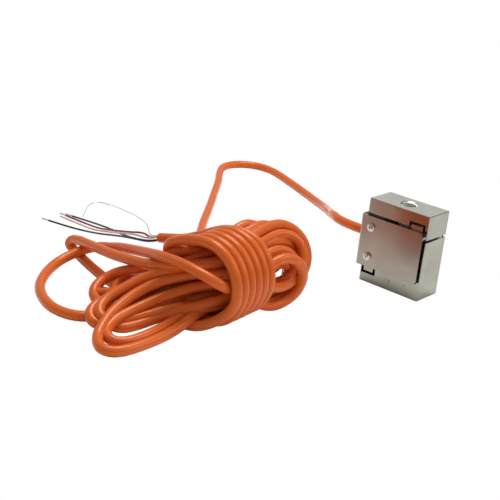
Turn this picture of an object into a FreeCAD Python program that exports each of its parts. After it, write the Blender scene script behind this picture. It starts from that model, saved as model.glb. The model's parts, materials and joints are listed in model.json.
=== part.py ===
"""S-type load cell with mechanical overload stops, folded cover and a tied hank of cable.

Millimetres. Origin: centre of the base face, on the axis of the two M12 threads.
+Z is up, along the load axis. +X is to the right, seen from the front. The front is -Y.
"""
import FreeCAD, Part
import math
import os
from FreeCAD import Vector

# ---- spring element ------------------------------------------------------------------
body_w = 50.8            # X
body_d = 25.4            # Y
body_h = 63.5            # Z
edge_break = 0.4         # chamfer on the outer edges
top_beam_h = 10.8
base_beam_h = 12.0
slot_w = 2.0             # width of every wire-cut slot
outer_wall = 0.8         # thin wall outside each upright slot
pocket_w = 22.0          # gauge pocket, between the two columns of the middle block
web_t = 3.0              # the two bending webs that carry the gauges
pocket_r = 3.0           # corner radius of the gauge pocket
outlet_h = 45.2          # height of the right slot's mouth above the base
top_tooth_w = 9.3        # overload tooth under the top beam
top_tooth_h = 4.1
top_tooth_inset = 4.3    # from the tooth's outer flank to the side face
base_tooth_w = 8.1       # overload tooth over the base beam
base_tooth_h = 5.3
thread_r = 6.0           # M12, nominal
csk_r = 6.65             # mouth of the countersink at each thread
csk_depth = 0.4
seal_groove_d = 1.5      # groove that carries on the top slot's line to the left side
seal_bead_recess = 0.5
passage_r = 2.5          # wire passage through the left column

# ---- cover, gaskets, potting ---------------------------------------------------------
cover_t = 1.0
cover_reach = 4.4        # how far the cover's web stands off the left side face
cover_bend_r = 2.0       # outside radius of the two bends
cover_corner_r = 3.2
cover_rise = 0.4         # from the base slot's lower edge to the cover's
cover_overlap = 0.1      # from the top slot's lower edge to the cover's upper one
cover_gap = 1.6          # from the cover's right edge to the upright slot's outer wall
gasket_t = 0.5
gasket_inset = 0.5
gasket_rim = 3.0
potting_recess = 0.6

# ---- cover screws, M3 pan head -------------------------------------------------------
screw_inset = 5.4        # from the left side face
screw_pitch = 22.2
screw_shank_r = 1.2
screw_hole_r = 1.25
screw_hole_depth = 7.0
screw_shank_l = 6.6      # under the head
screw_head_r = 3.0
screw_head_h = 1.7
screw_crown = 0.6        # height of the head's dome over its rim
recess_span = 3.4        # cross recess, tip to tip
recess_w = 0.8
recess_depth = 1.0
cover_hole_r = 1.6

# ---- cable ---------------------------------------------------------------------------
cable_d = 7.0
exit_h = 33.0            # height of the cable's exit above the base
ferrule_flange_r = 5.4
ferrule_flange_t = 1.2
ferrule_neck_r = 4.6
ferrule_nose_r = 4.8     # root of the tapered nose
ferrule_tip_r = 4.0
ferrule_nose_l = 4.0
ferrule_clearance = 0.05

# ---- inside the gauge pocket ---------------------------------------------------------
gauge_l = 5.0
gauge_w = 7.0
gauge_t = 0.2
gauge_pitch = 10.0
board_t = 0.8
board_w = 12.0
board_l = 18.0
resistor_l = 3.2
resistor_w = 1.6
resistor_t = 0.6
resistor_pitch = 5.0
resistor_drop = 6.5      # below the board's middle
core_r = 0.6
core_pitch = 1.9
pad_pitch = 2.6
pad_rise = 5.0           # pads above the board's middle

# ---- free cable ----------------------------------------------------------------------
# Route of the lead, from the ferrule's tip to the hank, lying on the base plane.
lie = cable_d / 2.0
ferrule_tip_x = -(body_w / 2.0 + cover_reach + ferrule_flange_t + ferrule_nose_l)
lead_route = [
    (ferrule_tip_x, 0.0, exit_h), (-56.0, 0.0, exit_h), (-77.0, 16.0, 28.0), (-98.0, 42.0, 18.0),
    (-121.0, 69.0, 9.0), (-152.0, 94.0, lie), (-184.0, 111.0, lie), (-213.0, 124.0, lie),
    (-237.0, 136.0, lie), (-260.0, 132.0, lie), (-275.0, 114.0, lie), (-274.0, 91.0, lie),
    (-259.0, 73.0, lie), (-232.0, 46.0, lie), (-201.0, 9.0, lie), (-171.0, -30.0, lie),
    (-146.0, -60.0, lie), (-118.0, -86.0, lie), (-90.0, -106.0, lie), (-64.0, -120.0, 6.0),
]
# The hank is tied round its waist by its own last turns. Its bights are short on the right
# of the waist and fan out on the left of it.
hank_x, hank_y = -41.0, -148.0      # middle of the waist
hank_heading = 95.4                 # degrees from +X, along the hank to its right bights
# Waist and right bights: distance along the hank, lowest and highest place across it, height.
waist_sections = [
    (-28.0, -28.0, 28.0, 40.0), (-20.0, -30.5, 30.5, 60.6), (20.0, -30.5, 30.5, 60.6),
    (32.0, -27.0, 29.0, 59.5), (56.0, -15.0, 33.0, 59.5), (79.0, -1.0, 30.0, 46.0),
]
# Left bights: distance across the hank, lowest and highest place along it, height.
fan_sections = [
    (-150.0, 0.0, 14.0, 12.0), (-128.0, -36.0, 16.0, 19.0), (-105.0, -63.0, 17.0, 26.0),
    (-78.0, -78.0, 16.0, 32.0), (-38.0, -82.0, 8.0, 44.0), (-18.0, -97.0, 0.0, 47.0),
    (4.0, -95.0, -10.0, 43.0), (22.0, -40.0, -15.0, 34.0),
]
hank_crown = 0.3                    # cut at a section's upper corners, as a share of its height
hank_foot = 0.1                     # the same at its lower corners
# The jacket's end springs off the waist and lets out the four cores and the drain wire.
jacket_route = [
    (-52.0, -130.5, 55.5), (-66.0, -132.0, 51.5), (-82.0, -133.0, 46.0), (-98.0, -133.0, 38.0),
    (-112.0, -135.0, 31.0),
]
wire_r = 0.75
wire_spread = 1.15       # unit of the cores' places round the jacket's axis
wire_start_l = 9.0       # first run of each core, in line with the jacket
drain_r = 0.35
tip_l = 7.0
tip_r = 0.55
# Each core: its place in the jacket, then its route after the first run.
wire_routes = {
    "wire_black": (-1, -1, [(-137.0, -135.5, 22.5), (-161.0, -128.0, 15.5), (-193.0, -122.0, 6.0),
                            (-218.0, -119.0, 0.75), (-233.0, -123.0, 0.75), (-248.0, -126.0, 0.75)]),
    "wire_white": (-1, 1, [(-134.0, -137.0, 27.0), (-152.0, -133.0, 21.5), (-181.0, -123.0, 11.5),
                           (-209.0, -114.5, 3.0), (-227.0, -111.0, 0.75), (-244.0, -112.0, 0.75)]),
    "wire_green": (1, -1, [(-139.0, -132.0, 21.0), (-163.0, -123.0, 14.5), (-185.0, -115.0, 10.5),
                           (-213.0, -106.0, 4.5), (-235.0, -102.0, 0.75), (-246.0, -104.0, 0.75)]),
    "wire_red": (1, 0.7, [(-132.0, -131.5, 28.0), (-150.0, -128.5, 22.0), (-183.0, -119.0, 11.5),
                          (-206.0, -110.5, 4.0), (-230.0, -106.5, 0.75), (-250.0, -107.5, 0.75)]),
}
drain_place = (0, 1.7)
drain_route = [
    (-133.0, -127.0, 32.0), (-155.0, -112.0, 26.5), (-180.0, -97.0, 20.0), (-205.0, -84.0, 13.5),
    (-229.0, -73.0, 8.0), (-249.0, -64.0, 2.5), (-262.0, -62.0, 0.35), (-264.0, -71.0, 0.35),
    (-254.0, -84.0, 0.35), (-241.0, -97.0, 0.35),
]

# ---- places that follow from the sizes -------------------------------------------------
side = body_w / 2.0
face = body_d / 2.0
top_slot_z = body_h - top_beam_h - slot_w            # lower edge of the top slot
base_slot_z = base_beam_h                            # lower edge of the base slot
wall_in = side - outer_wall                          # outer flank of an upright slot
block_side = wall_in - slot_w                        # flank of the middle block
pocket_x = pocket_w / 2.0
pocket_low = base_slot_z + slot_w + web_t
pocket_high = top_slot_z - web_t
cover_bottom = base_slot_z + cover_rise
cover_top = top_slot_z + cover_overlap
cover_left = -side - cover_reach
cover_right = wall_in - cover_gap
cover_mid = (cover_bottom + cover_top) / 2.0
leg_in = face + gasket_t                             # inner face of a cover leg
leg_out = leg_in + cover_t
screw_heights = (cover_mid - screw_pitch / 2.0, cover_mid + screw_pitch / 2.0)
screw_x = screw_inset - side
cable_r = cable_d / 2.0
board_z = (pocket_low + pocket_high) / 2.0
board_x = pocket_x - board_t

X, Y, Z = Vector(1, 0, 0), Vector(0, 1, 0), Vector(0, 0, 1)


def block(x0, x1, y0, y1, z0, z1):
    return Part.makeBox(x1 - x0, y1 - y0, z1 - z0, Vector(x0, y0, z0))


def slot(x0, x1, z0, z1):
    """A cut through the whole depth of the body."""
    return block(x0, x1, -face - 1.0, face + 1.0, z0, z1)


def drill(x, z, r, y0, y1):
    """A round cut along Y."""
    return Part.makeCylinder(r, y1 - y0, Vector(x, y0, z), Y)


def edges_along(shape, direction, keep):
    """Straight edges of a shape that run along a direction and pass a test of their middle."""
    found = []
    for edge in shape.Edges:
        if isinstance(edge.Curve, Part.Line) and edge.Curve.Direction.cross(direction).Length < 1e-6:
            if keep(edge.CenterOfMass):
                found.append(edge)
    return found


def s_body():
    """One solid: two beams, two columns and two webs, parted by wire-cut slots."""
    body = block(-side, side, -face, face, 0.0, body_h)
    body = body.makeChamfer(edge_break, body.Edges)

    half = slot_w / 2.0
    upright_low = base_slot_z + slot_w + half                # centre of its rounded foot
    upright_high = top_slot_z - half
    over = top_slot_z + slot_w
    tooth_right = side - top_tooth_inset
    tooth_left = tooth_right - top_tooth_w
    crest = top_slot_z + top_tooth_h
    hook_left = -block_side
    hook_right = hook_left + base_tooth_w
    trough = base_slot_z + slot_w - base_tooth_h

    cuts = [
        # top slot, closed on the left, then round the tooth of the right column
        drill(-pocket_x, top_slot_z + half, half, -face - 1.0, face + 1.0),
        slot(-pocket_x, tooth_left, top_slot_z, over),
        slot(tooth_left - slot_w, tooth_left, top_slot_z + half, crest + slot_w),
        slot(tooth_left - slot_w, tooth_right + slot_w, crest, crest + slot_w),
        slot(tooth_right, tooth_right + slot_w, top_slot_z + half, crest + slot_w),
        slot(tooth_right, wall_in, top_slot_z, over),
        # right upright slot, with its mouth in the right side face
        slot(block_side, wall_in, upright_low, top_slot_z + half),
        drill(wall_in - half, upright_low, half, -face - 1.0, face + 1.0),
        slot(wall_in - half, side + 1.0, outlet_h - half, outlet_h + half),
        # base slot, closed on the right, then round the tooth of the left column
        drill(pocket_x, base_slot_z + half, half, -face - 1.0, face + 1.0),
        slot(hook_right, pocket_x, base_slot_z, base_slot_z + slot_w),
        slot(hook_right, hook_right + slot_w, trough - slot_w, base_slot_z + half),
        slot(hook_left - slot_w, hook_right + slot_w, trough - slot_w, trough),
        slot(hook_left - slot_w, hook_left, trough - slot_w, base_slot_z + half),
        # left upright slot, with its mouth in the left side face
        slot(-wall_in, -block_side, base_slot_z, upright_high),
        drill(-wall_in + half, upright_high, half, -face - 1.0, face + 1.0),
        slot(-side - 1.0, -wall_in + half, body_h - outlet_h - half, body_h - outlet_h + half),
    ]

    # gauge pocket, wire passage, screw holes, seal grooves
    pocket = slot(-pocket_x, pocket_x, pocket_low, pocket_high)
    cuts.append(pocket.makeFillet(pocket_r, edges_along(pocket, Y, lambda c: True)))
    cuts.append(Part.makeCylinder(passage_r, side - pocket_x + 1.0, Vector(-side - 0.5, 0, exit_h), X))
    for z in screw_heights:
        cuts.append(drill(screw_x, z, screw_hole_r, -face - 1.0, -face + screw_hole_depth))
        cuts.append(drill(screw_x, z, screw_hole_r, face - screw_hole_depth, face + 1.0))
    for y0, y1 in ((-face - 1.0, -face + seal_groove_d), (face - seal_groove_d, face + 1.0)):
        cuts.append(block(-side - 1.0, -pocket_x, y0, y1, top_slot_z, top_slot_z + slot_w))

    # the two threads, each with a countersunk mouth
    cuts.append(Part.makeCylinder(thread_r, base_beam_h + slot_w, Vector(0, 0, -half), Z))
    cuts.append(Part.makeCylinder(thread_r, top_beam_h + slot_w, Vector(0, 0, top_slot_z + half), Z))
    mouth = Part.makeCone(csk_r, thread_r, csk_depth, Vector(0, 0, 0), Z)
    cuts.append(mouth)
    cuts.append(mouth.mirror(Vector(0, 0, body_h / 2.0), Z))
    return body.cut(cuts).removeSplitter()


def channel(reach_x, reach_y, bend_r, z0, z1):
    """A block whose two left upright edges are rounded, open-ended towards +X."""
    solid = block(reach_x, cover_right, -reach_y, reach_y, z0, z1)
    return solid.makeFillet(bend_r, edges_along(solid, Z, lambda c: c.x < 0))


def cover():
    """One sheet folded round the left side, with two legs over the front and the back."""
    outer = channel(cover_left, leg_out, cover_bend_r, cover_bottom, cover_top)
    corners = edges_along(outer, Y, lambda c: c.x > 0)
    outer = outer.makeFillet(cover_corner_r, corners)
    inner = block(cover_left + cover_t, cover_right + 1.0, -leg_in, leg_in, cover_bottom - 1.0,
                  cover_top + 1.0)
    inner = inner.makeFillet(cover_bend_r - cover_t, edges_along(inner, Z, lambda c: c.x < 0))
    holes = [drill(screw_x, z, cover_hole_r, -leg_out - 1.0, leg_out + 1.0) for z in screw_heights]
    holes.append(Part.makeCylinder(ferrule_neck_r, cover_t + 2.0,
                                   Vector(cover_left - 1.0, 0, exit_h), X))
    return outer.cut([inner] + holes)


def gasket(front):
    """Black rubber frame under a cover leg."""
    y0, y1 = (-leg_in, -face) if front else (face, leg_in)
    low, high = cover_bottom + gasket_inset, cover_top - gasket_inset
    ring = block(-side, cover_right - gasket_inset, y0, y1, low, high)
    hollow = block(-pocket_x, cover_right - gasket_inset - gasket_rim, y0 - 1.0, y1 + 1.0,
                   low + gasket_rim, high - gasket_rim)
    holes = [drill(screw_x, z, cover_hole_r, y0 - 1.0, y1 + 1.0) for z in screw_heights]
    return ring.cut([hollow] + holes)


def seal_bead(front):
    """Black sealant in the groove on the top slot's line."""
    inner = face - seal_groove_d
    outer = face - seal_bead_recess
    y0, y1 = (-outer, -inner) if front else (inner, outer)
    return block(-side, -pocket_x - slot_w / 2.0, y0, y1, top_slot_z, top_slot_z + slot_w)


def side_potting():
    """Black compound between the cover's web and the left side face."""
    low, high = cover_bottom + potting_recess, cover_top - potting_recess
    solid = block(cover_left + cover_t, -side, -leg_in, leg_in, low, high)
    solid = solid.makeFillet(cover_bend_r - cover_t,
                             edges_along(solid, Z, lambda c: c.x < -side - cover_t))
    bore = Part.makeCylinder(cable_r + ferrule_clearance, cover_reach + 2.0,
                             Vector(cover_left - 1.0, 0, exit_h), X)
    seat = Part.makeCylinder(ferrule_neck_r, 2.0 * cover_t, Vector(cover_left, 0, exit_h), X)
    return solid.cut([bore, seat])


def cover_screw(z, front):
    """M3 pan head screw with a cross recess, modelled along +Z and then laid along Y."""
    rim = screw_head_h - screw_crown
    crown_r = (screw_head_r ** 2 + screw_crown ** 2) / (2.0 * screw_crown)
    shoulder = Vector(screw_head_r, 0, rim)
    bulge_x = screw_head_r / 2.0
    bulge_z = screw_head_h - crown_r + math.sqrt(crown_r ** 2 - bulge_x ** 2)
    outline = [
        Part.makeLine(Vector(0, 0, -screw_shank_l), Vector(screw_shank_r, 0, -screw_shank_l)),
        Part.makeLine(Vector(screw_shank_r, 0, -screw_shank_l), Vector(screw_shank_r, 0, 0)),
        Part.makeLine(Vector(screw_shank_r, 0, 0), Vector(screw_head_r, 0, 0)),
        Part.makeLine(Vector(screw_head_r, 0, 0), shoulder),
        Part.Arc(shoulder, Vector(bulge_x, 0, bulge_z), Vector(0, 0, screw_head_h)).toShape(),
        Part.makeLine(Vector(0, 0, screw_head_h), Vector(0, 0, -screw_shank_l)),
    ]
    screw = Part.Face(Part.Wire(outline)).revolve(Vector(0, 0, 0), Z, 360)
    for span_x, span_y in ((recess_span, recess_w), (recess_w, recess_span)):
        screw = screw.cut(Part.makeBox(span_x, span_y, recess_depth + 1.0,
                                       Vector(-span_x / 2.0, -span_y / 2.0, screw_head_h - recess_depth)))
    screw.rotate(Vector(0, 0, 0), X, 90 if front else -90)
    screw.translate(Vector(screw_x, -leg_out if front else leg_out, z))
    return screw


def gauge(left, upper):
    """Foil strain gauge bonded to the inner face of a web."""
    x = -gauge_pitch / 2.0 if left else gauge_pitch / 2.0
    z0 = pocket_high - gauge_t if upper else pocket_low
    return block(x - gauge_l / 2.0, x + gauge_l / 2.0, -gauge_w / 2.0, gauge_w / 2.0, z0, z0 + gauge_t)


def terminal_board():
    """Bridge terminal board bonded to the right column."""
    return block(board_x, pocket_x, -board_w / 2.0, board_w / 2.0, board_z - board_l / 2.0,
                 board_z + board_l / 2.0)


def resistor(order):
    """Trim resistor on the terminal board."""
    y = order * resistor_pitch / 2.0
    z = board_z - resistor_drop
    return block(board_x - resistor_t, board_x, y - resistor_w / 2.0, y + resistor_w / 2.0,
                 z - resistor_l / 2.0, z + resistor_l / 2.0)


def tube(route, radius, name, report=True):
    """Round tube along straight runs joined by the largest arcs that the runs allow."""
    points = [Vector(*p) for p in route]
    parts, here, radii = [], points[0], []
    for before, corner, after in zip(points, points[1:], points[2:]):
        back, ahead = before - corner, after - corner
        reach = 0.45 * min(back.Length, ahead.Length)
        back.normalize()
        ahead.normalize()
        start, end = corner + back * reach, corner + ahead * reach
        half_turn = (math.pi - back.getAngle(ahead)) / 2.0
        bend = reach / math.tan(half_turn)
        middle_way = (back + ahead).normalize()
        middle = corner + middle_way * (bend / math.cos(half_turn) - bend)
        parts.append(Part.makeLine(here, start))
        parts.append(Part.Arc(start, middle, end).toShape())
        here = end
        radii.append(bend)
    parts.append(Part.makeLine(here, points[-1]))
    path = Part.Wire(parts)
    ring = Part.Wire(Part.Circle(points[0], points[1] - points[0], radius).toShape())
    solid = path.makePipeShell([ring], True, True)
    expected = math.pi * radius ** 2 * path.Length
    if report:
        print("%s: length %.0f mm, tightest radius %.1f mm (%.1f diameters), volume ratio %.4f"
              % (name, path.Length, min(radii), min(radii) / (2.0 * radius), solid.Volume / expected))
        print("   radii", " ".join("%.0f" % r for r in radii))
    return solid


def bridge_wire(across, up):
    """One of the four cores, from the cable's end through the passage to its pad."""
    y0, z0 = across * core_pitch / 2.0, exit_h + up * core_pitch / 2.0
    y1, z1 = across * pad_pitch * 1.5, board_z + pad_rise + up * pad_pitch / 2.0
    rise = pocket_x / 2.0
    route = [(-side, y0, z0), (-rise, y0, z0), (rise, y1, z1), (board_x, y1, z1)]
    return tube(route, core_r, "bridge wire", report=False)


def cable_ferrule():
    """Tapered collar in the cover's web, where the cable comes out."""
    nose = Part.makeCone(ferrule_tip_r, ferrule_nose_r, ferrule_nose_l,
                         Vector(ferrule_tip_x, 0, exit_h), X)
    flange = Part.makeCylinder(ferrule_flange_r, ferrule_flange_t,
                               Vector(cover_left - ferrule_flange_t, 0, exit_h), X)
    neck = Part.makeCylinder(ferrule_neck_r, 2.0 * cover_t, Vector(cover_left, 0, exit_h), X)
    bore_l = ferrule_nose_l + ferrule_flange_t + 2.0 * cover_t
    bore = Part.makeCylinder(cable_r + ferrule_clearance, bore_l + 2.0,
                             Vector(ferrule_tip_x - 1.0, 0, exit_h), X)
    return nose.fuse([flange, neck]).removeSplitter().cut(bore)


def cable_inlet():
    """The jacket's last stretch, through the ferrule and the potting to the side face."""
    return Part.makeCylinder(cable_r, -side - ferrule_tip_x, Vector(ferrule_tip_x, 0, exit_h), X)


def hank_loft(sections, forward, sideways):
    """Loft through flat-bottomed sections with cut corners, set across a direction."""
    centre = Vector(hank_x, hank_y, 0)
    wires = []
    for distance, low, high, height in sections:
        crown = hank_crown * height
        foot = hank_foot * height
        outline = [
            (low + foot, 0.0), (high - foot, 0.0), (high, foot), (high, height - crown),
            (high - crown, height), (low + crown, height), (low, height - crown), (low, foot),
        ]
        corners = [centre + forward * distance + sideways * u + Z * v for u, v in outline]
        wires.append(Part.makePolygon(corners + corners[:1]))
    return Part.makeLoft(wires, True, True)


def cable_hank():
    """Outer shape of the tied hank: its waist with the right bights, and the fan of left bights."""
    angle = math.radians(hank_heading)
    along = Vector(math.cos(angle), math.sin(angle), 0)
    across = Vector(math.sin(angle), -math.cos(angle), 0)
    waist = hank_loft(waist_sections, along, across)
    fan = hank_loft(fan_sections, across, along)
    return waist.fuse(fan).removeSplitter()


def from_jacket(across, up, rest):
    """A core's whole route: it starts on the jacket's end face, in line with the jacket."""
    end, before = Vector(*jacket_route[-1]), Vector(*jacket_route[-2])
    ahead = (end - before).normalize()
    level = ahead.cross(Z).normalize()
    start = end + level * (across * wire_spread) + level.cross(ahead) * (up * wire_spread)
    return [tuple(start), tuple(start + ahead * wire_start_l)] + rest


def wire_tip(route):
    """Tinned end of a core, carrying on in line with its last run."""
    end, before = Vector(*route[-1]), Vector(*route[-2])
    return Part.makeCylinder(tip_r, tip_l, end, end - before)


def save(name, shape):
    solids = shape.Solids
    assert solids and shape.isValid(), name
    result = solids[0] if len(solids) == 1 else Part.makeCompound(solids)
    result.exportStep("parts/%s.step" % name)
    print("%-28s solids %d  volume %10.2f mm3" % (name, len(solids), result.Volume))


def main():
    os.makedirs("parts", exist_ok=True)
    save("s_body", s_body())
    save("cover", cover())
    save("side_potting", side_potting())
    for front, where in ((True, "front"), (False, "rear")):
        save("%s_gasket" % where, gasket(front))
        save("%s_seal_bead" % where, seal_bead(front))
        for z, level in zip(screw_heights, ("lower", "upper")):
            save("cover_screw_%s_%s" % (where, level), cover_screw(z, front))
    for upper, level in ((True, "upper"), (False, "lower")):
        for left, place in ((True, "left"), (False, "right")):
            save("gauge_%s_%s" % (level, place), gauge(left, upper))
    save("terminal_board", terminal_board())
    save("span_resistor", resistor(-1))
    save("zero_resistor", resistor(1))
    for colour, across, up in (("red", -1, 1), ("black", 1, 1), ("green", -1, -1), ("white", 1, -1)):
        save("bridge_wire_%s" % colour, bridge_wire(across, up))
    save("cable_ferrule", cable_ferrule())
    save("cable_inlet", cable_inlet())
    lead = tube(lead_route, cable_r, "cable lead")
    jacket_end = tube(jacket_route, cable_r, "jacket end")
    save("cable_lead", lead)
    save("cable_jacket_end", jacket_end)
    save("cable_hank", cable_hank().cut([lead, jacket_end]))
    for name, (across, up, rest) in wire_routes.items():
        route = from_jacket(across, up, rest)
        save(name, tube(route, wire_r, name))
        save(name + "_tip", wire_tip(route))
    save("drain_wire", tube(from_jacket(*drain_place, drain_route), drain_r, "drain wire"))


main()
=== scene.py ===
"""Looks of an S type load cell and its hank of cable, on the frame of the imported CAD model.

Lengths are in mm where MM turns them into metres, and in metres for the stage.
"""
import json
import math

import bpy
from mathutils import Matrix, Vector


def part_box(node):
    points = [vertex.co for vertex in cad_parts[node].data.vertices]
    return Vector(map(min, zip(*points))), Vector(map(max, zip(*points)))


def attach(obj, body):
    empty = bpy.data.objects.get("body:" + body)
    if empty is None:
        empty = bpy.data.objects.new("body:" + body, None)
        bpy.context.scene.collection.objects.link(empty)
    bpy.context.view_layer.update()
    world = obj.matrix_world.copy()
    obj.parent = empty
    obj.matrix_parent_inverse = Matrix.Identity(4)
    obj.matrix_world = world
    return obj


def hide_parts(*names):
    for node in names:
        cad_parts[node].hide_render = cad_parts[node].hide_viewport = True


MM = 0.001

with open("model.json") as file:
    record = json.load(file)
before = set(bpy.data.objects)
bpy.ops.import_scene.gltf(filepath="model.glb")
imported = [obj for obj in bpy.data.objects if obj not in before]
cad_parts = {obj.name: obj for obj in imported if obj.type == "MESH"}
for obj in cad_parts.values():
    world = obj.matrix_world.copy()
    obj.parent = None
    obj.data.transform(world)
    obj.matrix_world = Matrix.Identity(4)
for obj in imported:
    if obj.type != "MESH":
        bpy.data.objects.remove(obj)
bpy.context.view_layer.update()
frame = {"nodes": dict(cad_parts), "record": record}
nodes = frame["nodes"]

# ---------------------------------------------------------------- cable and wires, in mm
CURVE_STEPS = 8
CABLE_D = 7.0
CABLE_SIDES = 5

# The lead goes from the ferrule's tip down to the floor and along it to the hank. It follows
# the lead of the CAD model, moved by up to 5 mm.
LEAD = [
    (-35, 0, 33), (-56, 0, 33), (-77, 16, 30), (-98, 42, 20), (-121, 69, 11), (-152, 94, 4.5),
    (-184, 111, 3.5), (-213, 124, 3.5), (-238, 134.5, 3.5), (-259, 134.5, 3.5),
    (-273.5, 121.5, 3.5), (-275, 102.5, 3.5), (-263, 85, 3.5), (-243, 63, 3.5), (-222, 36, 3.5),
    (-198, 6, 3.5), (-171, -30, 3.5), (-146, -60, 3.5), (-118, -86, 3.5), (-90, -106, 3.5),
    (-64, -120, 6),
]

# The hank lies along its own axis. The wraps go round its waist five times and on nearly to
# the top, so six strands show in front. Places in the hank are along the axis from the
# waist's middle, across it and above the floor.
HANK_CENTRE = (-41.0, -148.0)
HANK_TURN = math.radians(95.4)
WAIST_R = 26.6
WAIST_Z = 30.1
WAIST_HALF = 17.5
WRAPS = 5
WRAP_POINTS = 14
WRAP_END_POINTS = 3
# How far the first wrap stands off behind, outwards and up, by the number of its point.
WRAP_LOOSE = {5: (5.0, 1.0), 6: (11.0, 3.0)}

INTO_HANK = [(17, -13, 14), (0, -9, 17)]
BIGHTS = [
    # inside the short bight behind, then the first arch on the right
    (-22, -20, 13), (-35, -42, 9), (-35, -55, 8), (-29, -65, 8), (-21, -68, 11), (-14, -63, 17),
    (-13, -48, 25), (-17, -30, 42), (-5, -12, 46),
    (20, -12, 48), (36, -12, 54), (46, -8, 52), (52, -4, 45), (53, -6, 35), (45, -13, 28),
    (20, -19, 26),
    # short bight behind
    (-12, -22, 22), (-32, -36, 10), (-43, -47, 5), (-48, -57, 5), (-45, -68, 6), (-38, -74, 9),
    (-28, -75, 12), (-20, -69, 17), (-15, -52, 23), (-17, -30, 34), (-6, -14, 39),
    (17, -4, 50), (30, -3, 53), (42, -2, 55), (53, 1, 52), (60, 5, 43), (62, 7, 31),
    (58, 3, 20), (45, -7, 15), (17, -15, 16),
    # two bights side by side
    (-8, -15, 16), (-27, -20, 13), (-44, -28, 7), (-62, -35, 4), (-72, -39, 5), (-71, -46, 8),
    (-63, -50, 11), (-50, -49, 13), (-35, -44, 18), (-21, -33, 27), (-8, -12, 43),
    (17, 3.5, 50), (38, 1, 53), (56, 2, 54), (69, 6, 49), (75, 13, 40), (75, 18, 28),
    (69, 18, 16), (58, 17, 7), (42, 15, 4), (28, 12, 7), (12, 9, 12),
    (-12, -4, 12), (-30, -14, 12), (-46, -24, 7), (-60, -31, 6), (-68, -37, 8), (-66, -43, 11),
    (-57, -47, 14), (-44, -44, 19), (-30, -38, 25), (-18, -22, 34), (0, 2, 40),
    (20, 5, 41), (34, 6, 45), (49, 8, 45), (62, 9, 41), (70, 11, 32), (68, 12, 20), (55, 11, 11),
    (38, 4, 10), (20, -10, 12),
    # low bight that fills the short one
    (-3, -16, 10), (-16, -34, 6), (-25, -52, 3.5), (-28, -66, 3.5), (-31, -76, 3.5),
    (-38, -75, 4.5), (-41, -66, 8), (-36, -52, 12), (-24, -36, 18), (-8, -16, 28),
    (20, -10, 34), (36, -3, 37), (52, 4, 34), (62, 10, 26), (60, 12, 16), (50, 11, 8), (38, 8, 6),
    (22, 4, 8),
    # two long bights in front
    (0, -9, 13), (-18, -6, 11), (-39, -8, 5), (-65, -9, 3.5), (-77, -13, 3.5), (-80, -20, 4.5),
    (-75, -28, 6), (-62, -31, 9), (-46, -28, 12), (-30, -22, 17), (-10, -8, 24), (5, 10, 26),
    (24, 12, 28), (39, 14, 32), (52, 15, 30), (58, 15, 21), (51, 12, 12), (36, 6, 8), (17, 0, 10),
    (-4, -1, 12), (-22, 0, 10), (-46, -1, 3.5), (-72, -2, 3.5), (-88, -6, 3.5), (-92, -15, 4),
    (-85, -25, 5), (-76, -30, 8), (-62, -35, 12), (-44, -35, 18), (-26, -28, 25), (-10, -10, 32),
    (5, 10, 34),
    (24, 11, 37), (38, 11, 41), (50, 14, 40), (57, 19, 33), (56, 21, 24), (47, 15, 17),
    (28, 5, 16), (8, 1, 18),
    # long narrow bight to the back
    (-14, -10, 14), (-22, -40, 6), (-17, -76, 3.5), (-9, -101, 3.5), (1, -126, 3.5), (5, -138, 5),
    (4, -143, 9), (5, -138, 14), (-5, -110, 19), (-17, -74, 25), (-23, -40, 31), (-20, -12, 38),
    (-4, 8, 45),
    (20, 8, 46), (38, 5, 47), (52, 6, 49), (63, 11, 46), (67, 17, 39), (65, 21, 29),
    (57, 22, 20), (44, 20, 16), (28, 19, 20), (8, 19, 23),
    # big round bight, whose upper run crosses over to the front
    (-14, 6, 18), (-26, -8, 11), (-38, -28, 9), (-50, -43, 4.5), (-66, -52, 3.5), (-73, -64, 3.5),
    (-72, -82, 3.5), (-59, -105, 3.5), (-39, -121, 3.5), (-18, -129, 5.5), (0, -125, 10),
    (9, -117, 13), (8, -106, 16), (3, -92, 21.5), (-6, -69, 28.5), (-16, -47, 35.5),
    (-25, -27, 41.5), (-29, -7, 43.5), (-29, 8, 41.5), (-25, 19, 37), (-15, 19, 31),
    (5, 18, 30), (24, 19, 36), (37, 23, 41), (49, 27, 36), (56, 28, 25), (56, 25, 12),
    (47, 21, 5), (33, 18, 4), (18, 14, 12),
    # under the others and up into the wraps
    (-2, 10, 15), (-20, 0, 13), (-36, -17, 7), (-51, -23, 3.5), (-64, -27, 3.5), (-61, -41, 3.5),
    (-46, -47, 3.5), (-34, -39, 3.5), (-30, -24, 3.5), (-29, -8, 3.5), (-26, 3, 3.5),
    (-21, 11, 7), (-18, 19, 13.5), (-17.5, 25.5, 22),
]
# From the last wrap the cable goes back over the top and down behind the hank, to the cut end
# of its jacket. It follows the CAD model's, moved by up to 5.6 mm.
TAIL = [(15.7, -9, 55.7), (14.1, -19, 51.5), (14, -29, 46), (16, -42, 39.5)]
BEFORE_CUT = (-98, -134, 34.5)
CUT = (-112, -135, 31)

# The wires leave the cut in the direction from WIRE_HEADING to it, straight for WIRE_STRAIGHT.
WIRE_HEADING = (-98, -133, 38)
WIRE_STRAIGHT = 9.0
WIRE_SPREAD = 1.15
WIRE_D = 1.5
DRAIN_D = 0.7
WIRE_SIDES = 2
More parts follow.
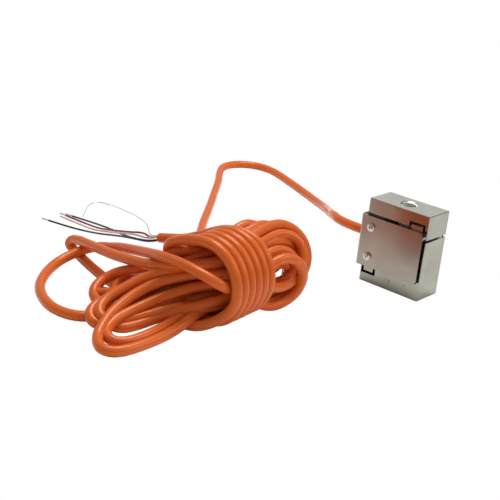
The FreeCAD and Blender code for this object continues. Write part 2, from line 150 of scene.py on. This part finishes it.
# Each wire's place in the cut, in steps of WIRE_SPREAD across and up, its route and its length.
WIRES = {
    "black": (-1, -1, [
        (-137, -135.5, 22.5), (-161, -128, 15.5), (-193, -122, 6), (-218, -119, 0.75),
        (-233, -123, 0.75), (-248, -126, 0.75)], 143),
    "white": (-1, 1, [
        (-134, -137, 27), (-152, -133, 21.5), (-181, -123, 11.5), (-209, -114.5, 3),
        (-227, -111, 0.75), (-244, -112, 0.75)], 140),
    "green": (1, -1, [
        (-139, -132, 21), (-163, -123, 14.5), (-185, -115, 10.5), (-213, -106, 4.5),
        (-235, -102, 0.75), (-246, -104, 0.75)], 143),
    "red": (1, 0.7, [
        (-132, -131.5, 28), (-150, -128.5, 22), (-183, -119, 11.5), (-206, -110.5, 4),
        (-230, -106.5, 0.75), (-250, -107.5, 0.75)], 146),
}
DRAIN = (0, 1.7, [
    (-133, -127, 32), (-155, -112, 26.5), (-180, -97, 20), (-205, -84, 13.5), (-229, -73, 8),
    (-249, -64, 2.5), (-262, -62, 0.35), (-264, -71, 0.35), (-254, -84, 0.35),
    (-241, -97, 0.35)], 214)


def in_hank(along, across, height):
    """The place, in mm, of a point given along and across the hank."""
    cos_turn = math.cos(HANK_TURN)
    sin_turn = math.sin(HANK_TURN)
    x = HANK_CENTRE[0] + cos_turn * along + sin_turn * across
    y = HANK_CENTRE[1] + sin_turn * along - cos_turn * across
    return (x, y, height)


def wraps():
    """The points of the wraps: from the front, over the top, down behind and round again."""
    points = []
    radius = WAIST_R / math.cos(math.pi / WRAP_POINTS)
    full_turns = WRAPS * WRAP_POINTS
    for step in range(full_turns + WRAP_END_POINTS + 1):
        turn = 2 * math.pi * step / WRAP_POINTS
        along = -WAIST_HALF + 2 * WAIST_HALF * min(1.0, step / full_turns)
        out, up = WRAP_LOOSE.get(step, (0.0, 0.0))
        across = radius * math.cos(turn) - out
        height = WAIST_Z + radius * math.sin(turn) + up
        points.append(in_hank(along, across, height))
    return points


def cable_route():
    """Every point of the cable, from the cell to the cut end of its jacket."""
    bights = [in_hank(*place) for place in INTO_HANK + BIGHTS]
    tail = [in_hank(*place) for place in TAIL]
    return LEAD + bights + wraps() + tail + [BEFORE_CUT, CUT]


def wire_points(across, up, route):
    """A wire's points: straight out of the cut at its own place there, then its route."""
    cut = Vector(CUT)
    ahead = (cut - Vector(WIRE_HEADING)).normalized()
    level = ahead.cross(Vector((0, 0, 1))).normalized()
    above = level.cross(ahead)
    start = cut + level * across * WIRE_SPREAD + above * up * WIRE_SPREAD
    return [start, start + ahead * WIRE_STRAIGHT] + [Vector(point) for point in route]


def spline_piece(name, points, diameter, paint, sides):
    """One open smooth cord of round section, from the first point to the last."""
    curve = bpy.data.curves.new(name, "CURVE")
    curve.dimensions = "3D"
    curve.resolution_u = CURVE_STEPS
    curve.bevel_depth = diameter / 2 * MM
    curve.bevel_resolution = sides
    curve.use_fill_caps = True
    spline = curve.splines.new("NURBS")
    spline.points.add(len(points) - 1)
    for point, place in zip(spline.points, points):
        point.co = (place[0] * MM, place[1] * MM, place[2] * MM, 1.0)
    spline.order_u = 3
    spline.use_endpoint_u = True
    piece = bpy.data.objects.new(name, curve)
    bpy.context.scene.collection.objects.link(piece)
    curve.materials.append(paint)
    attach(piece, "root")
    return piece


def mesh_piece(name, vertices, faces, paint):
    """One mesh that rides on the cell, from its corners in mm and its faces."""
    mesh = bpy.data.meshes.new(name)
    mesh.from_pydata([(x * MM, y * MM, z * MM) for x, y, z in vertices], [], faces)
    mesh.update()
    piece = bpy.data.objects.new(name, mesh)
    bpy.context.scene.collection.objects.link(piece)
    mesh.materials.append(paint)
    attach(piece, "root")


# ---------------------------------------------------------------- materials
# Each material's colour, how metallic it is and how rough.
LOOKS = {
    "body_steel": ((0.37, 0.35, 0.295), 1.0, 0.22),
    "cover_steel": ((0.35, 0.32, 0.27), 1.0, 0.26),
    "screw_steel": ((0.62, 0.60, 0.55), 1.0, 0.18),
    "ferrule_metal": ((0.60, 0.58, 0.53), 1.0, 0.25),
    "gasket_rubber": ((0.02, 0.02, 0.02), 0.0, 0.7),
    # The sealant is near black. It fills the groove along the cover plate's top edge and the gap
    # beside the cover's web. Its black is partly real sealant and partly painted shade of those
    # narrow gaps.
    "sealant": ((0.05, 0.05, 0.05), 0.0, 0.55),
    "gauge_foil": ((0.55, 0.36, 0.12), 0.2, 0.4),
    "board": ((0.05, 0.22, 0.09), 0.0, 0.45),
    "resistor": ((0.03, 0.03, 0.035), 0.0, 0.35),
    "cable_jacket": ((0.70, 0.135, 0.022), 0.0, 0.28),
    "core_red": ((0.30, 0.02, 0.03), 0.0, 0.4),
    "core_black": ((0.012, 0.012, 0.014), 0.0, 0.4),
    "core_green": ((0.015, 0.07, 0.05), 0.0, 0.4),
    "core_white": ((0.72, 0.50, 0.48), 0.0, 0.4),
    "thread_steel": ((0.90, 0.89, 0.85), 0.7, 0.5),
    "scratch": ((0.07, 0.06, 0.05), 0.0, 0.6),
    "tinned_copper": ((0.62, 0.60, 0.57), 1.0, 0.3),
}
# The two shades of each mottled material, and how fine the mottling is.
MOTTLED = {
    "body_steel": ((0.34, 0.33, 0.275), (0.40, 0.39, 0.33), 60.0),
    "cover_steel": ((0.33, 0.30, 0.25), (0.38, 0.345, 0.295), 50.0),
}
MOTTLE_DETAIL = 4.0
MOTTLE_DARK_UP_TO = 0.35
MOTTLE_LIGHT_FROM = 0.65
# What else the cable's jacket needs: soft plastic with a faint gloss coat.
JACKET = {
    "Subsurface Weight": 0.08,
    "Subsurface Radius": (0.004, 0.0015, 0.0006),
    "Subsurface Scale": 1.0,
    "Specular Tint": (1.0, 0.62, 0.38, 1.0),
    "Specular IOR Level": 0.35,
    "Coat Weight": 0.15,
    "Coat Roughness": 0.08,
}


def new_material(name, colour, metallic, roughness):
    """A plain material and its shader node."""
    paint = bpy.data.materials.new(name)
    paint.use_nodes = True
    shader = paint.node_tree.nodes["Principled BSDF"]
    shader.inputs["Base Color"].default_value = (*colour, 1.0)
    shader.inputs["Metallic"].default_value = metallic
    shader.inputs["Roughness"].default_value = roughness
    return paint, shader


def mottle(paint, shader, dark, light, scale):
    """Mottles a material's colour between two shades."""
    tree = paint.node_tree
    place = tree.nodes.new("ShaderNodeTexCoord")
    noise = tree.nodes.new("ShaderNodeTexNoise")
    noise.inputs["Scale"].default_value = scale
    noise.inputs["Detail"].default_value = MOTTLE_DETAIL
    ramp = tree.nodes.new("ShaderNodeValToRGB")
    low, high = ramp.color_ramp.elements
    low.position = MOTTLE_DARK_UP_TO
    low.color = (*dark, 1.0)
    high.position = MOTTLE_LIGHT_FROM
    high.color = (*light, 1.0)
    tree.links.new(place.outputs["Object"], noise.inputs["Vector"])
    tree.links.new(noise.outputs["Fac"], ramp.inputs["Fac"])
    tree.links.new(ramp.outputs["Color"], shader.inputs["Base Color"])


def make_materials():
    """The materials by name, most of them by the record's slot names."""
    paints = {}
    for name, look in LOOKS.items():
        paints[name], shader = new_material(name, *look)
        if name in MOTTLED:
            mottle(paints[name], shader, *MOTTLED[name])
        if name == "cable_jacket":
            for socket, value in JACKET.items():
                shader.inputs[socket].default_value = value
    return paints


def dress_nodes(paints):
    """Each CAD node gets the material of its slot."""
    for part in frame["record"]["subparts"]:
        node = nodes[part["node"]]
        node.data.materials.clear()
        node.data.materials.append(paints[part["material_slot"]])


# ---------------------------------------------------------------- the cell's details, in mm
# The M12 threads: each ridge is a bar that stands just clear of the bore's wall. Its half
# widths at the wall and at the crest are shares of the pitch.
THREAD_R = 6.0
THREAD_CLEAR = 0.02
THREAD_PITCH = 1.75
THREAD_DEPTH = 0.95
THREAD_FOOT = 0.44
THREAD_CREST = 0.1
THREAD_STEPS = 28
TOP_THREAD = (51.5, 62.9)
BASE_THREAD = (0.6, 11.4)


def thread_ridge(name, bottom, top, paint):
    """A screw thread's ridge inside a bore, as one closed helical bar."""
    foot = THREAD_R - THREAD_CLEAR
    crest = THREAD_R - THREAD_DEPTH
    profile = (
        (foot, -THREAD_FOOT),
        (crest, -THREAD_CREST),
        (crest, THREAD_CREST),
        (foot, THREAD_FOOT),
    )
    corners = len(profile)
    count = int((top - bottom) / THREAD_PITCH * THREAD_STEPS)
    vertices = []
    faces = []
    for step in range(count + 1):
        angle = 2 * math.pi * step / THREAD_STEPS
        height = bottom + THREAD_PITCH * step / THREAD_STEPS
        for radius, share in profile:
            level = min(max(height + THREAD_PITCH * share, bottom), top)
            vertices.append((radius * math.cos(angle), radius * math.sin(angle), level))
    for step in range(count):
        for corner in range(corners):
            here = step * corners + corner
            beside = step * corners + (corner + 1) % corners
            faces.append((here, beside, beside + corners, here + corners))
    faces.append(tuple(reversed(range(corners))))
    faces.append(tuple(range(count * corners, (count + 1) * corners)))
    mesh_piece(name, vertices, faces, paint)


# Marks on the base's front face, as (from, to, width) along x and z.
SCRATCHES = [
    ((0.5, 8.3), (-0.9, 3.6), 0.5),
    ((-3.6, 7.6), (-1.6, 8.2), 0.45),
    ((12.3, 8.2), (14.1, 8.5), 0.5),
    ((15.9, 3.2), (16.8, 4.4), 0.4),
]
SCRATCH_PROUD = 0.02
SCRATCH_SUNK = 0.1


def scratch_marks(paint):
    """Thin dark wedges let into the body's front face, one a scratch."""
    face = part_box("s_body")[0].y / MM
    vertices = []
    faces = []
    for begin, end, width in SCRATCHES:
        run = Vector(end) - Vector(begin)
        aside = Vector((-run.y, run.x)).normalized() * width / 2
        first = len(vertices)
        for depth in (face - SCRATCH_PROUD, face + SCRATCH_SUNK):
            for corner in (Vector(begin) - aside, Vector(begin) + aside, Vector(end)):
                vertices.append((corner.x, depth, corner.y))
        faces.append((first, first + 1, first + 2))
        faces.append((first + 5, first + 4, first + 3))
        for here, beside in ((0, 1), (1, 2), (2, 0)):
            faces.append((first + here, first + here + 3, first + beside + 3, first + beside))
    mesh_piece("scratch_marks", vertices, faces, paint)


# ---------------------------------------------------------------- cords
def add_cable(paints):
    """The cable, as one cord from the cell to the cut end."""
    cable = spline_piece("cable", cable_route(), CABLE_D, paints["cable_jacket"], CABLE_SIDES)
    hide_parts("cable_lead", "cable_hank", "cable_jacket_end")
    return cable


def add_wires(paints):
    """The four cores and the screen's drain wire, out of the cut end."""
    for colour, (across, up, route, length) in WIRES.items():
        core = "core_" + colour
        points = wire_points(across, up, route)
        wire = spline_piece(core, points, WIRE_D, paints[core], WIRE_SIDES)
        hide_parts("wire_" + colour)
    across, up, route, length = DRAIN
    points = wire_points(across, up, route)
    drain = spline_piece("screen_drain", points, DRAIN_D, paints["tinned_copper"], WIRE_SIDES)
    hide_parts("drain_wire")


# ---------------------------------------------------------------- stage, in metres
CAMERA_PLACE = (0.35489, -0.5897, 0.27509)
CAMERA_RIGHT = (0.73728, 0.66927, 0.09218)
CAMERA_DOWN = (0.30353, -0.20625, -0.93023)
CAMERA_AHEAD = (-0.60356, 0.71382, -0.35521)
CAMERA_LENS_MM = 72.0
CAMERA_SENSOR_MM = 36.0
CAMERA_NEAR = 0.01
CAMERA_FAR = 20.0

WHITE = (1.0, 1.0, 1.0, 1.0)
FLOOR_SIZE = 12.0
FLOOR_DROP = 0.0002
FLOOR_LOOK = ((0.92, 0.92, 0.92), 0.0, 0.9)
ROOM_STRENGTH = 0.35

# Each lamp's place, what it points at, its size and its power in watts. The key is overhead,
# the fill to the right, and the back lamp behind on the left.
LAMPS = {
    "key": ((-0.3, 0.25, 1.2), (-0.1, -0.05, 0.0), 0.7, 12.0),
    "fill": ((0.9, 0.5, 0.9), (0.0, 0.0, 0.0), 0.8, 5.0),
    "back": ((-1.25, 1.45, 0.85), (0.0, 0.0, 0.05), 1.6, 5.0),
}


def add_camera():
    """The viewpoint: in front of the cell, to its right and above it."""
    turn = Matrix((CAMERA_RIGHT, -Vector(CAMERA_DOWN), -Vector(CAMERA_AHEAD))).transposed()
    data = bpy.data.cameras.new("camera")
    data.lens = CAMERA_LENS_MM
    data.sensor_width = CAMERA_SENSOR_MM
    data.clip_start = CAMERA_NEAR
    data.clip_end = CAMERA_FAR
    camera = bpy.data.objects.new("camera", data)
    camera.matrix_world = Matrix.Translation(CAMERA_PLACE) @ turn.to_4x4()
    bpy.context.scene.collection.objects.link(camera)
    bpy.context.scene.camera = camera


def white_for_camera(tree, kind, lit, surface):
    """Camera rays see plain white, and all other rays see what is lit."""
    rays = tree.nodes.new("ShaderNodeLightPath")
    plain = tree.nodes.new(kind)
    plain.inputs["Color"].default_value = WHITE
    mix = tree.nodes.new("ShaderNodeMixShader")
    tree.links.new(rays.outputs["Is Camera Ray"], mix.inputs["Fac"])
    tree.links.new(lit, mix.inputs[1])
    tree.links.new(plain.outputs[0], mix.inputs[2])
    tree.links.new(mix.outputs["Shader"], surface)


def add_floor():
    """A pale floor, just under the object, that the camera sees as plain white."""
    bpy.ops.mesh.primitive_plane_add(size=FLOOR_SIZE, location=(0.0, 0.0, -FLOOR_DROP))
    floor = bpy.context.object
    floor.name = "floor"
    paint, shader = new_material("floor_white", *FLOOR_LOOK)
    tree = paint.node_tree
    white_for_camera(tree, "ShaderNodeEmission", shader.outputs["BSDF"],
                     tree.nodes["Material Output"].inputs["Surface"])
    floor.data.materials.append(paint)


def add_room():
    """A dim white room, which the camera sees as plain white."""
    world = bpy.data.worlds.new("studio")
    bpy.context.scene.world = world
    world.use_nodes = True
    tree = world.node_tree
    background = tree.nodes["Background"]
    background.inputs["Color"].default_value = WHITE
    background.inputs["Strength"].default_value = ROOM_STRENGTH
    white_for_camera(tree, "ShaderNodeBackground", background.outputs["Background"],
                     tree.nodes["World Output"].inputs["Surface"])


def add_lamp(name, place, target, size, power):
    """A soft square lamp that points at a place, and that the camera doesn't see."""
    data = bpy.data.lights.new(name, "AREA")
    data.shape = "SQUARE"
    data.size = size
    data.energy = power
    lamp = bpy.data.objects.new(name, data)
    lamp.visible_camera = False
    lamp.location = place
    lamp.rotation_euler = (Vector(target) - Vector(place)).to_track_quat("-Z", "Y").to_euler()
    bpy.context.scene.collection.objects.link(lamp)
    return lamp


def add_lamps(cable):
    """The lamps. The one behind leaves out the cable, which it would whiten."""
    lamps = {name: add_lamp(name, *values) for name, values in LAMPS.items()}
    left_out = bpy.data.collections.new("not_lit_from_behind")
    left_out.objects.link(cable)
    left_out.collection_objects[0].light_linking.link_state = "EXCLUDE"
    lamps["back"].light_linking.receiver_collection = left_out


paints = make_materials()
dress_nodes(paints)
cable = add_cable(paints)
add_wires(paints)
thread_ridge("thread_ridges_top", *TOP_THREAD, paints["thread_steel"])
thread_ridge("thread_ridges_base", *BASE_THREAD, paints["thread_steel"])
scratch_marks(paints["scratch"])
add_camera()
add_floor()
add_room()
add_lamps(cable)
bpy.context.scene.view_settings.view_transform = "Standard"
